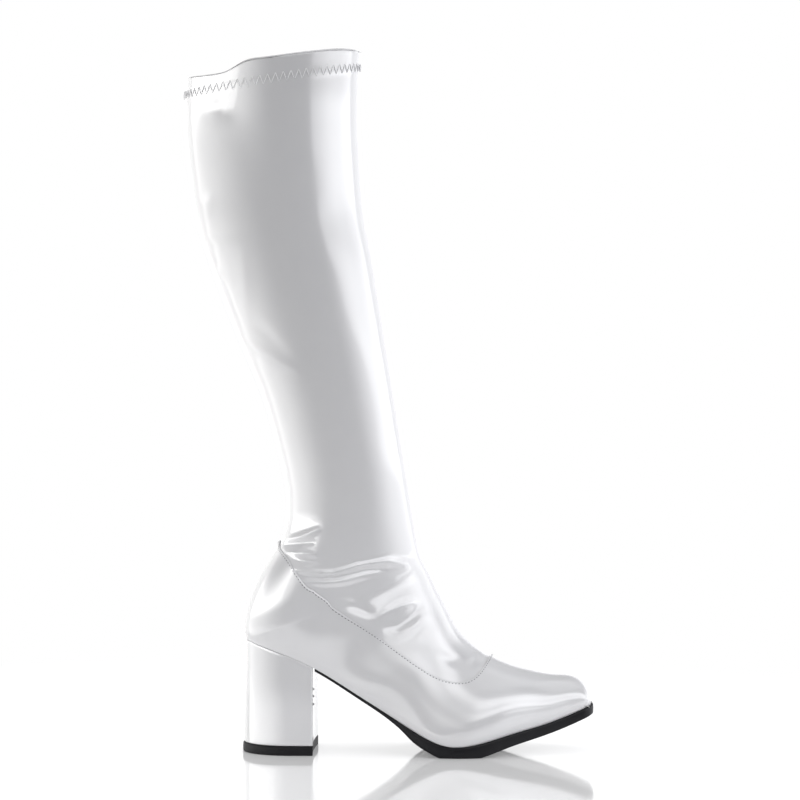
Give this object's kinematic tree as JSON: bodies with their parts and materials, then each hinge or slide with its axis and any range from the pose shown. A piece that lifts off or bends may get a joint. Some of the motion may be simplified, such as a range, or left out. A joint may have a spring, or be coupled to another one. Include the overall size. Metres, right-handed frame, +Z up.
{
  "type": "go go boot",
  "caption": "Right knee-high go go boot with a stretch patent shaft, a stitched foot part, a squared toe and a covered block heel.",
  "frame": {"origin": "middle of the heel's foot, on the floor", "axes": "+Z up the shaft, +X towards the toe, +Y towards the inner side of the foot"},
  "size_m": [0.2774, 0.094, 0.4757],
  "materials": {
    "patent": "high-gloss white stretch patent",
    "heel_cover": "high-gloss white patent over a hard block",
    "sock_lining": "matt woven sock",
    "lining": "matt knitted backing",
    "thread": "sewing thread",
    "sole_rubber": "semi-gloss black",
    "lift_rubber": "satin black"
  },
  "bodies": {
    "root": {"upper": "patent", "insole": "sock_lining", "outsole": "sole_rubber", "heel_block": "heel_cover", "top_lift": "lift_rubber"}
  },
  "joints": []
}
